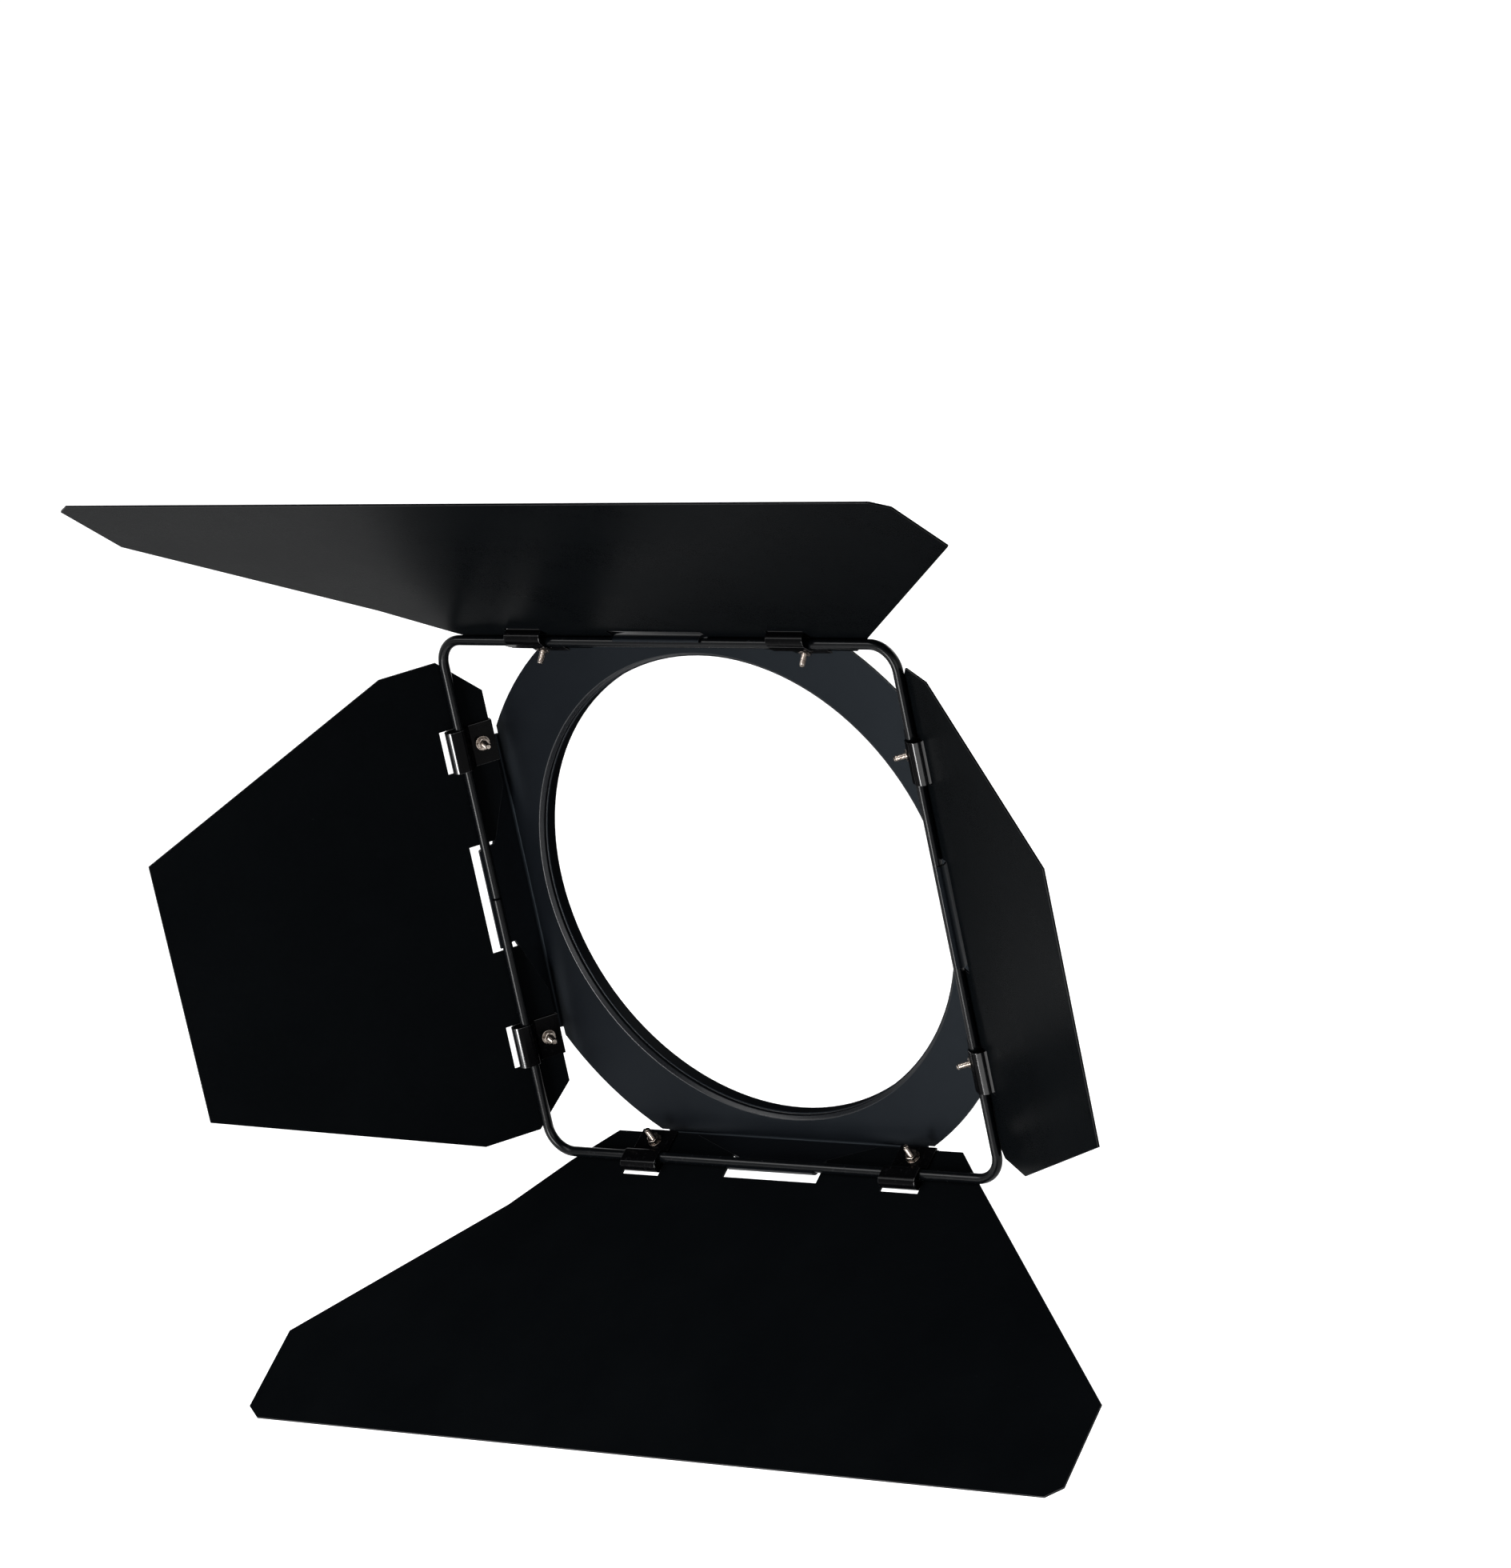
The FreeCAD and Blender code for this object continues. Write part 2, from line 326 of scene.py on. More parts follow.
@dataclass(frozen=True)
class PowderCoat:
    """Baked powder paint: a fine orange-peel skin with faint handling marks and specks of dust.

    Attributes:
        name: Name of the material.
        colour: Colour of the clean paint.
        roughness: Mean roughness.
        specular: Specular level.
        tint: Colour of the sheen.
        lump, lump_share: Size of the orange peel and its share of the relief.
        grain: Size of the finer grain, which has the rest of the relief.
        relief: Height of the relief.
        mark_size, mark_detail, mark_rough, mark_from, mark_to: Noise and range of the marks.
        mark_dulling, grain_dulling: How far marks and grain pale the colour.
        mark_gloss, grain_gloss: How far marks and grain change the roughness.
        speck_spacing, speck_radius, speck_share: Spacing, size and strength of the dust.
    """

    name: str
    colour: Colour
    roughness: float
    specular: float
    tint: Colour = (1.0, 1.0, 1.0)
    lump: float = 1.3 * MM
    lump_share: float = 0.7
    grain: float = 0.39 * MM
    relief: float = 0.04 * MM
    mark_size: float = 55 * MM
    mark_detail: float = 5.0
    mark_rough: float = 0.62
    mark_from: float = 0.35
    mark_to: float = 0.7
    mark_dulling: float = 0.5
    grain_dulling: float = 0.25
    mark_gloss: float = 0.05
    grain_gloss: float = 0.14
    speck_spacing: float = 9 * MM
    speck_radius: float = 0.018
    speck_share: float = 0.55

    def material(self) -> bpy.types.Material:
        """Build the material.

        Returns:
            The new material.
        """
        made = bpy.data.materials.new(self.name)
        graph = Graph(made)
        lumps = graph.noise(self.lump, 2.0)
        grain = graph.noise(self.grain, 1.0)
        marks = graph.ramp(graph.noise(self.mark_size, self.mark_detail, self.mark_rough),
                           (self.mark_from, 0.0), (self.mark_to, 1.0))
        speck = graph.node("ShaderNodeTexVoronoi", {}, {
            "Vector": graph.place(), "Scale": 1 / self.speck_spacing}, "Distance")
        dust = 1.0 - speck.above(self.speck_radius)
        dull = lifted(self.colour, 1.3, 0.0004)
        pale = lifted(self.colour, 4.0, 0.012)
        colour = graph.blend(marks * self.mark_dulling + grain * self.grain_dulling,
                             self.colour, dull)
        colour = graph.blend(dust * self.speck_share, colour, pale)
        rough = self.roughness + (marks - 0.5) * self.mark_gloss + (grain - 0.5) * self.grain_gloss
        height = lumps * self.lump_share + grain * (1.0 - self.lump_share)
        bump = graph.node("ShaderNodeBump", {}, {
            "Strength": 1.0, "Distance": self.relief, "Height": height})
        graph.finish(graph.node("ShaderNodeBsdfPrincipled", {}, {
            "Base Color": colour, "Roughness": rough, "Normal": bump,
            "Specular IOR Level": self.specular, "Specular Tint": (*self.tint, 1.0)}))
        return made


@dataclass(frozen=True)
class Enamel:
    """Smooth sprayed enamel, glossy, with slight waviness and fine scuffs.

    Attributes:
        name: Name of the material.
        colour: Colour of the clean enamel.
        roughness: Roughness where it isn't scuffed.
        specular: Specular level.
        wave, relief: Length and height of the waves.
        grain, grain_relief, grain_gloss: Size of the grain and its share of relief and gloss.
        scuff_size, scuff_detail, scuff_rough, scuff_from, scuff_to: Noise and range of the scuffs.
        scuff_share, scuff_gloss: How far scuffs pale the colour and raise the roughness.
    """

    name: str
    colour: Colour
    roughness: float
    specular: float
    wave: float = 6 * MM
    relief: float = 0.01 * MM
    grain: float = 0.8 * MM
    grain_relief: float = 0.06
    grain_gloss: float = 0.05
    scuff_size: float = 2.6 * MM
    scuff_detail: float = 6.0
    scuff_rough: float = 0.75
    scuff_from: float = 0.56
    scuff_to: float = 0.68
    scuff_share: float = 0.6
    scuff_gloss: float = 0.12

    def material(self) -> bpy.types.Material:
        """Build the material.

        Returns:
            The new material.
        """
        made = bpy.data.materials.new(self.name)
        graph = Graph(made)
        waves = graph.noise(self.wave, 1.0)
        grain = graph.noise(self.grain, 2.0)
        scuffs = graph.ramp(graph.noise(self.scuff_size, self.scuff_detail, self.scuff_rough),
                            (self.scuff_from, 0.0), (self.scuff_to, 1.0))
        worn = lifted(self.colour, 2.2, 0.004)
        colour = graph.blend(scuffs * self.scuff_share, self.colour, worn)
        rough = self.roughness + scuffs * self.scuff_gloss + (grain - 0.5) * self.grain_gloss
        bump = graph.node("ShaderNodeBump", {}, {
            "Strength": 1.0, "Distance": self.relief, "Height": waves + grain * self.grain_relief})
        graph.finish(graph.node("ShaderNodeBsdfPrincipled", {}, {
            "Base Color": colour, "Roughness": rough, "Normal": bump,
            "Specular IOR Level": self.specular}))
        return made


@dataclass(frozen=True)
class NickelPlate:
    """Bright plated steel, slightly warm, with tarnish in patches and hairline marks.

    Attributes:
        name: Name of the material.
        colour: Colour of the bright metal.
        tarnish: Colour of the tarnish.
        roughness: Roughness of the bright metal.
        patch_size, patch_detail, patch_rough, patch_from, patch_to: Noise and range of the tarnish.
        patch_share, patch_gloss: How far tarnish changes the colour and the roughness.
        hair_size, hair_gloss, hair_strength, relief: Size, gloss and relief of the hairlines.
    """

    name: str
    colour: Colour
    tarnish: Colour
    roughness: float
    patch_size: float = 1.1 * MM
    patch_detail: float = 4.0
    patch_rough: float = 0.6
    patch_from: float = 0.42
    patch_to: float = 0.66
    patch_share: float = 0.8
    patch_gloss: float = 0.14
    hair_size: float = 0.22 * MM
    hair_gloss: float = 0.16
    hair_strength: float = 0.5
    relief: float = 0.01 * MM

    def material(self) -> bpy.types.Material:
        """Build the material.

        Returns:
            The new material.
        """
        made = bpy.data.materials.new(self.name)
        graph = Graph(made)
        patches = graph.ramp(graph.noise(self.patch_size, self.patch_detail, self.patch_rough),
                             (self.patch_from, 0.0), (self.patch_to, 1.0))
        hairs = graph.noise(self.hair_size, 2.0)
        colour = graph.blend(patches * self.patch_share, self.colour, self.tarnish)
        rough = self.roughness + patches * self.patch_gloss + (hairs - 0.5) * self.hair_gloss
        bump = graph.node("ShaderNodeBump", {}, {
            "Strength": self.hair_strength, "Distance": self.relief, "Height": hairs})
        graph.finish(graph.node("ShaderNodeBsdfPrincipled", {}, {
            "Base Color": colour, "Roughness": rough, "Normal": bump, "Metallic": 1.0}))
        return made


class Finish(Enum):
    """The finishes of the object, by material slot of the record."""

    LEAF = "leaf_coat"
    PLATE = "plate_coat"
    ROD = "rod_finish"
    CLIP = "clip_finish"
    HARDWARE = "hardware"


FINISHES = {
    Finish.LEAF: PowderCoat("leaf_powder_coat", (0.0012, 0.0015, 0.0018), 0.30, 0.0045),
    Finish.PLATE: PowderCoat("plate_powder_coat", (0.0012, 0.0015, 0.0022), 0.36, 0.080,
                             tint=(0.70, 0.86, 1.0)),
    Finish.ROD: Enamel("rod_enamel", (0.0012, 0.0015, 0.0019), 0.20, 0.11),
    Finish.CLIP: Enamel("clip_enamel", (0.0010, 0.0010, 0.0012), 0.10, 0.035),
    Finish.HARDWARE: NickelPlate("nickel_plate", (0.36, 0.32, 0.285), (0.11, 0.075, 0.06), 0.17),
}
# Paler, glossier coats on rounded edges: thinner paint over the edges, and also a painted sheen that makes the
# edges catch highlights.
EDGES = {
    Finish.LEAF: PowderCoat("leaf_edge", (0.0060, 0.0064, 0.0070), 0.34, 0.30),
    Finish.PLATE: PowderCoat("plate_edge", (0.0050, 0.0056, 0.0068), 0.30, 0.22),
    # Paler, much glossier enamel for the clips' rounded edges and the outside of their bends: a painted highlight.
    Finish.CLIP: Enamel("clip_edge_highlight", (0.0030, 0.0032, 0.0036), 0.10, 0.60),
}


# ---------------------------------------------------------------- modelling by hand

def deselect_all() -> None:
    """Leave edit mode and select nothing."""
    if bpy.context.object and bpy.context.object.mode != "OBJECT":
        bpy.ops.object.mode_set(mode="OBJECT")
    bpy.ops.object.select_all(action="DESELECT")


def make_active(piece: bpy.types.Object) -> None:
    """Select one object alone and make it the active one.

    Args:
        piece: The object.
    """
    deselect_all()
    piece.select_set(True)
    bpy.context.view_layer.objects.active = piece


def edit(piece: bpy.types.Object) -> None:
    """Enter edit mode on one object with everything selected.

    Args:
        piece: The object.
    """
    make_active(piece)
    bpy.ops.object.mode_set(mode="EDIT")
    bpy.ops.mesh.select_all(action="SELECT")


def select_where(test: Callable[[Any], bool], kind: str = "FACE") -> None:
    """Select the faces, edges or vertices of the edited mesh that pass a test.

    Args:
        test: What an element has to pass.
        kind: FACE, EDGE or VERT.
    """
    bpy.ops.mesh.select_mode(type=kind)
    bpy.ops.mesh.select_all(action="DESELECT")
    mesh = bmesh.from_edit_mesh(bpy.context.object.data)
    for element in {"FACE": mesh.faces, "EDGE": mesh.edges, "VERT": mesh.verts}[kind]:
        if test(element):
            element.select_set(True)
    mesh.select_flush_mode()
    bmesh.update_edit_mesh(bpy.context.object.data)


def extrude(step: Vector) -> None:
    """Extrude the selection along a step.

    Args:
        step: The step.
    """
    bpy.ops.mesh.extrude_region_move(TRANSFORM_OT_translate={"value": tuple(step)})


def apply_modifier(piece: bpy.types.Object, kind: str, **settings: Any) -> None:
    """Add one modifier to an object and apply it.

    Args:
        piece: The object.
        kind: Type of the modifier.
        settings: Its properties.
    """
    make_active(piece)
    modifier = piece.modifiers.new(kind.lower(), kind)
    for key, value in settings.items():
        setattr(modifier, key, value)
    bpy.ops.object.modifier_apply(modifier=modifier.name)


def smooth(piece: bpy.types.Object, degrees: float = 35.0) -> None:
    """Shade smooth up to an angle and weight the normals by face area.

    Args:
        piece: The object.
        degrees: Angle above which an edge stays sharp.
    """
    make_active(piece)
    bpy.ops.object.shade_smooth_by_angle(angle=math.radians(degrees))
    apply_modifier(piece, "WEIGHTED_NORMAL", keep_sharp=True)


def tidy_mesh(piece: bpy.types.Object) -> None:
    """Merge doubled points and turn all faces outwards.

    Args:
        piece: The object.
    """
    edit(piece)
    bpy.ops.mesh.remove_doubles(threshold=MERGE_DISTANCE)
    bpy.ops.mesh.normals_make_consistent(inside=False)
    deselect_all()


def rounded_copy(node: str, width: float, segments: int = 2,
                 shape: Optional[Callable[[], None]] = None) -> bpy.types.Object:
    """Copy a node of the frame, merge its triangles into whole faces and round its sharp edges.

    Args:
        node: The node to copy.
        width: Width of the rounding.
        segments: Steps of the rounding.
        shape: Edit-mode work on the merged mesh before the rounding.

    Returns:
        The copy, with its rounded edges in the second material slot.
    """
    source = frame["nodes"][node]
    piece = bpy.data.objects.new(node + "_dressed", source.data.copy())
    bpy.context.scene.collection.objects.link(piece)
    edit(piece)
    bpy.ops.mesh.customdata_custom_splitnormals_clear()
    bpy.ops.mesh.remove_doubles(threshold=MERGE_DISTANCE)
    bpy.ops.mesh.dissolve_limited(angle_limit=COPLANAR_ANGLE)
    if shape:
        shape()
    deselect_all()
    piece.data.materials.clear()
    for _ in range(2):
        piece.data.materials.append(None)
    apply_modifier(piece, "BEVEL", width=width, segments=segments, limit_method="ANGLE", material=1,
                   angle_limit=SHARP_ANGLE, use_clamp_overlap=True)
    smooth(piece)
    return piece


def turned_solid(name: str, rings: Sequence[Tuple[float, float]],
                 sides: int = 40) -> bpy.types.Object:
    """Solid of revolution round Z.

    Args:
        name: Name of the object.
        rings: Radius and height of each ring, from the bottom to the top.
        sides: Number of sides.

    Returns:
        The closed solid.
    """
    deselect_all()
    radius, height = rings[0]
    bpy.ops.mesh.primitive_circle_add(vertices=sides, radius=radius, fill_type="NGON",
                                      location=(0, 0, height))
    piece = bpy.context.object
    piece.name = name
    bpy.ops.object.transform_apply(location=True, rotation=True, scale=True)
    edit(piece)
    for next_radius, next_height in rings[1:]:
        extrude(Vector((0, 0, next_height - height)))
        ratio = next_radius / radius
        bpy.ops.transform.resize(value=(ratio, ratio, 1), center_override=(0, 0, next_height))
        radius, height = next_radius, next_height
    tidy_mesh(piece)
    return piece


def cut(piece: bpy.types.Object, tool: bpy.types.Object, operation: str = "DIFFERENCE") -> None:
    """Cut a piece with a tool, or keep what they share, and remove the tool.

    Args:
        piece: The object to cut.
        tool: The object to cut with.
        operation: DIFFERENCE or INTERSECT.
    """
    apply_modifier(piece, "BOOLEAN", operation=operation, object=tool, solver="EXACT")
    bpy.data.objects.remove(tool)


def joined(name: str, parts: Sequence[bpy.types.Object]) -> bpy.types.Object:
    """Join objects into one.

    Args:
        name: Name of the result.
        parts: The objects.

    Returns:
        The first object, which now holds all parts.
    """
    make_active(parts[0])
    for part in parts[1:]:
        part.select_set(True)
    bpy.ops.object.join()
    parts[0].name = name
    return parts[0]


def copied(master: bpy.types.Object, place: Matrix) -> bpy.types.Object:
    """Copy of a master, with its own mesh, put at a place.

    Args:
        master: The object to copy.
        place: Where the copy goes.

    Returns:
        The copy, with its place applied to its mesh.
    """
    piece = master.copy()
    piece.data = master.data.copy()
    bpy.context.scene.collection.objects.link(piece)
    piece.matrix_world = place
    make_active(piece)
    bpy.ops.object.transform_apply(location=True, rotation=True, scale=True)
    return piece


def dress(piece: bpy.types.Object, finish: Finish, body: str, nodes: Iterable[str]) -> None:
    """Give a piece its finish, its body and the nodes that it stands for.

    Args:
        piece: The finished mesh.
        finish: Its finish; the second material slot, where there is one, gets its edge finish.
        body: The body that carries it.
        nodes: The nodes that it replaces.
    """
    slots = max(1, len(piece.data.materials))
    for index in range(slots):
        material = MATERIALS[finish] if index == 0 else EDGE_MATERIALS[finish]
        if index < len(piece.data.materials):
            piece.data.materials[index] = material
        else:
            piece.data.materials.append(material)
    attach(piece, body)
    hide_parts(*nodes)
    LOG.info("%s rides on %s with finish %s", piece.name, body, finish.value)


# ---------------------------------------------------------------- carrier

@dataclass
class Carrier:
    """The mounting plate and the square rod frame that carry the doors.

    Attributes:
        plate_rounding: Rounding of the plate's edges.
        rim_rounding, rim_reach: Rounding of the fold at the aperture, and how far back it lies.
        fold_width, fold_angle, fold_inward, fold_forward: Where the fold's faces and edges are.
        inward_least, step_width: Where the collar's own faces are.
        ring_share, ring_tolerance: How near to a circle about the axis an edge has to be.
        rod_sides, bend_radius, bend_steps: The rod's section and its corners.
        seam, seam_chamfer: Gap between the rod's ends and the chamfer on them.
    """

    plate_rounding: float = 0.25 * MM
    rim_rounding: float = 0.8 * MM
    rim_reach: float = 2.4 * MM
    fold_width: float = 4.0 * MM
    fold_angle: float = math.radians(30)
    fold_inward: float = 0.08
    fold_forward: float = 0.2
    inward_least: float = -0.1
    step_width: float = 0.5 * MM
    ring_share: float = 0.03
    ring_tolerance: float = 0.05 * MM
    rod_sides: int = 32
    bend_radius: float = 13.0 * MM
    bend_steps: int = 14
    seam: float = 0.3 * MM
    seam_chamfer: float = 0.45 * MM

    def build(self) -> None:
        """Build both pieces."""
        plate = rounded_copy("mounting_plate", self.plate_rounding, shape=self.round_rim)
        self.paint_fold_highlight(plate)
        dress(plate, Finish.PLATE, "carrier", ["mounting_plate"])
        dress(self.rod_frame(), Finish.ROD, "carrier", ["wire_frame"])

    @staticmethod
    def aperture_radius() -> float:
        """Radius of the aperture at the rear of the collar.

        Returns:
            The radius.
        """
        aperture = next(m for m in frame["record"]["mounts"] if m["name"] == "beam_aperture")
        return aperture["dims"]["r_mm"] * MM

    def paint_fold_highlight(self, plate: bpy.types.Object) -> None:
        """Give the fold at the front of the aperture the paler, glossier edge finish as a painted highlight line
        round the rim, and the step behind it none.

        Args:
            plate: The mounting plate, with its edge finish in the second material slot.
        """
        radius = self.aperture_radius()
        for face in plate.data.polygons:
            place, normal = face.center, face.normal
            reach = math.hypot(place.x, place.z)
            inward = -(normal.x * place.x + normal.z * place.z) / reach
            # Fold faces get the paler, glossier edge coat, a painted highlight line; step faces keep the body
            # coat.
            if reach < radius + self.fold_width and inward > self.inward_least:
                on_fold = (reach > radius + self.step_width and inward > self.fold_inward
                           and -normal.y > self.fold_forward)
                face.material_index = 1 if on_fold else 0

    def round_rim(self) -> None:
        """Round the two corners of the fold at the front of the aperture."""
        radius = self.aperture_radius()

        def on_fold(edge: Any) -> bool:
            """Whether an edge runs round the aperture in the front of the plate.

            Args:
                edge: The edge.

            Returns:
                True on the two corners of the fold.
            """
            ends = [v.co for v in edge.verts]
            reach = [math.hypot(p.x, p.z) - radius for p in ends]
            return (max(reach) < radius * self.ring_share
                    and abs(reach[0] - reach[1]) < self.ring_tolerance
                    and abs(ends[0].y - ends[1].y) < self.ring_tolerance
                    and ends[0].y < self.rim_reach and edge.calc_face_angle(0) > self.fold_angle)

        select_where(on_fold, "EDGE")
        bpy.ops.mesh.bevel(offset=self.rim_rounding, segments=3, clamp_overlap=True)

    def rod_frame(self) -> bpy.types.Object:
        """One bent rod, from its seam on the left side up and round to the seam again.

        Returns:
            The rod.
        """
        low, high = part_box("wire_frame")
        radius = (high.y - low.y) / 2
        half = (high.x - low.x) / 2 - radius
        level = (high.y + low.y) / 2
        side = 2 * (half - self.bend_radius)
        deselect_all()
        bpy.ops.mesh.primitive_circle_add(vertices=self.rod_sides, radius=radius,
                                          location=(-half, level, self.seam / 2))
        piece = bpy.context.object
        piece.name = "rod_frame"
        bpy.ops.object.transform_apply(location=True, rotation=True, scale=True)
        edit(piece)
        extrude(Vector((0, 0, side / 2 - self.seam / 2)))
        corners = [(-1, 1), (1, 1), (1, -1), (-1, -1)]
        runs = [Vector((side, 0, 0)), Vector((0, 0, -side)), Vector((-side, 0, 0)),
                Vector((0, 0, side / 2 - self.seam / 2))]
        for (x, z), run in zip(corners, runs):
            centre = Vector((x, 0, z)) * (half - self.bend_radius) + Vector((0, level, 0))
            bpy.ops.mesh.spin(steps=self.bend_steps, angle=-QUARTER_TURN, center=centre,
                              axis=(0, 1, 0))
            extrude(run)
        select_where(lambda e: e.is_boundary, "EDGE")
        bpy.ops.mesh.edge_face_add()
        bpy.ops.mesh.bevel(offset=self.seam_chamfer, segments=1)
        tidy_mesh(piece)
        smooth(piece)
        return piece


# ---------------------------------------------------------------- fasteners

class Kind(Enum):
    """The fasteners of a clip, by the plural that their nodes are named with."""

    SCREW = "screws"
    WASHER = "washers"
    NUT = "nuts"


@dataclass
class Screw:
    """Pan-head screw with a cross recess and a cut thread; its head rests on Z = 0.

    Attributes:
        length, radius, pitch, tip_chamfer: The shank and its thread.
        head_radius, head_height, head_sides: The head.
        profile: Outline of the head, as shares of its radius and height.
        recess, recess_taper: Length, width and depth of a slot, and its size at the bottom.
        overlap: How far the core enters the head, and the slots' tool stands out of it.
        core_depth, ridge_depth: Depth of the core and half height of the ridge, in pitches.
        tip_share: Size of the tip, as a share of the core's radius.
        steps: Sides of the core and steps of a turn of the thread.
    """

    length: float = 12.0 * MM
    radius: float = 1.49 * MM
    pitch: float = 0.5 * MM
    head_radius: float = 2.8 * MM
    head_height: float = 2.2 * MM
    tip_chamfer: float = 0.4 * MM
    profile: Tuple[Tuple[float, float], ...] = (
        (0.95, 0.0), (1.0, 0.12), (1.0, 0.50), (0.97, 0.66),
        (0.88, 0.81), (0.74, 0.92), (0.56, 0.98), (0.35, 1.0))
    head_sides: int = 48
    recess: Tuple[float, float, float] = (3.1 * MM, 0.62 * MM, 1.5 * MM)
    recess_taper: float = 0.45
    overlap: float = 0.1 * MM
    core_depth: float = 0.46
    ridge_depth: float = 0.48
    tip_share: float = 0.78
    steps: int = 24

    def build(self) -> bpy.types.Object:
        """Build the master.

        Returns:
            The screw.
        """
        return joined("screw", [self.head(), self.core(), self.thread()])

    def head(self) -> bpy.types.Object:
        """Domed head with its cross recess.

        Returns:
            The head.
        """
        high = self.head_height
        rings = [(self.head_radius * out, high * up) for out, up in self.profile]
        head = turned_solid("head", rings, self.head_sides)
        length, width, depth = self.recess
        for turn in (0.0, QUARTER_TURN):
            deselect_all()
            bpy.ops.mesh.primitive_cube_add(
                size=1, location=(0, 0, high + self.overlap - depth / 2),
                rotation=(0, 0, turn), scale=(length, width, depth))
            blade = bpy.context.object
            bpy.ops.object.transform_apply(location=True, rotation=True, scale=True)
            edit(blade)
            select_where(lambda f: f.normal.z < -0.9)
            bpy.ops.transform.resize(value=(self.recess_taper, self.recess_taper, 1))
            deselect_all()
            cut(head, blade)
        return head

    def core(self) -> bpy.types.Object:
        """Core of the shank, with its chamfered tip.

        Returns:
            The core.
        """
        root = self.radius - self.core_depth * self.pitch
        rings = [(self.tip_share * root, -self.length), (root, self.tip_chamfer - self.length),
                 (root, self.overlap)]
        return turned_solid("core", rings, self.steps)

    def thread(self) -> bpy.types.Object:
        """Helical ridge round the core.

        Returns:
            The ridge.
        """
        ridge = self.ridge_depth * self.pitch
        start = self.tip_chamfer + ridge - self.length
        turns = int(-start / self.pitch)
        deselect_all()
        bpy.ops.mesh.primitive_circle_add(vertices=4, radius=ridge, rotation=(QUARTER_TURN, 0, 0),
                                          location=(self.radius - ridge, 0, start))
        ridge_piece = bpy.context.object
        bpy.ops.object.transform_apply(location=True, rotation=True, scale=True)
        apply_modifier(ridge_piece, "SCREW", axis="Z", angle=math.tau, screw_offset=self.pitch,
                       iterations=turns, steps=self.steps, render_steps=self.steps)
        edit(ridge_piece)
        select_where(lambda e: e.is_boundary, "EDGE")
        bpy.ops.mesh.edge_face_add()
        tidy_mesh(ridge_piece)
        return ridge_piece


@dataclass
class Nut:
    """Hexagon nut, chamfered on both faces; its lower face is at Z = 0.

    Attributes:
        across_flats, height, bore_radius, countersink: Its sizes.
        face_share: Radius of the round face, as a share of half the width across flats.
        tool_share, spare_share: How far the tools reach past the corners and the faces.
        chamfer_angle, chamfer_sides: Slope and sides of the chamfer.
    """

    across_flats: float = 5.5 * MM
    height: float = 2.4 * MM
    bore_radius: float = 1.5 * MM
    countersink: float = 0.26 * MM
    face_share: float = 0.93
    tool_share: float = 1.05
    spare_share: float = 0.2
    chamfer_angle: float = math.radians(30)
    chamfer_sides: int = 60

    def build(self) -> bpy.types.Object:
        """Build the master.

        Returns:
            The nut.
        """
        deselect_all()
        corner = self.across_flats / 2 / math.cos(math.radians(30))
        bpy.ops.mesh.primitive_cylinder_add(vertices=6, radius=corner, depth=self.height,
                                            location=(0, 0, self.height / 2))
        nut = bpy.context.object
        bpy.ops.object.transform_apply(location=True, rotation=True, scale=True)
        face = self.face_share * self.across_flats / 2
        wall = self.tool_share * corner
        rise = (wall - face) * math.tan(self.chamfer_angle)
        rings = [(face, 0), (wall, rise), (wall, self.height - rise), (face, self.height)]
        cut(nut, turned_solid("chamfer", rings, self.chamfer_sides), "INTERSECT")
        bore, sink = self.bore_radius, self.countersink
        spare = self.spare_share * sink
        wide = bore + sink + spare
        rings = [(wide, -spare), (bore, sink), (bore, self.height - sink),
                 (wide, self.height + spare)]
        cut(nut, turned_solid("bore", rings))
        nut.name = "nut"
        return nut


@dataclass
class Washer:
    """Punched washer with one rounded face; its lower face is at Z = 0.

    Attributes:
        radius, bore_radius, height: Its sizes.
        rounding, corner_share: Rounding of its rim, and of the corners left beside it.
        sides: Sides of the rim.
    """

    radius: float = 3.5 * MM
    bore_radius: float = 1.6 * MM
    height: float = 0.5 * MM
    rounding: float = 0.14 * MM
    corner_share: float = 0.3
    sides: int = 56

    def build(self) -> bpy.types.Object:
        """Build the master.

        Returns:
            The washer.
        """
        wide, high, edge = self.radius, self.height, self.rounding
        corner = self.corner_share * edge
        rings = [(wide - edge, 0), (wide - corner, corner), (wide, edge),
                 (wide, high - corner), (wide - corner, high)]
        washer = turned_solid("washer", rings, self.sides)
        cut(washer, turned_solid("bore", [(self.bore_radius, -high), (self.bore_radius, 2 * high)]))
        return washer


# ---------------------------------------------------------------- doors

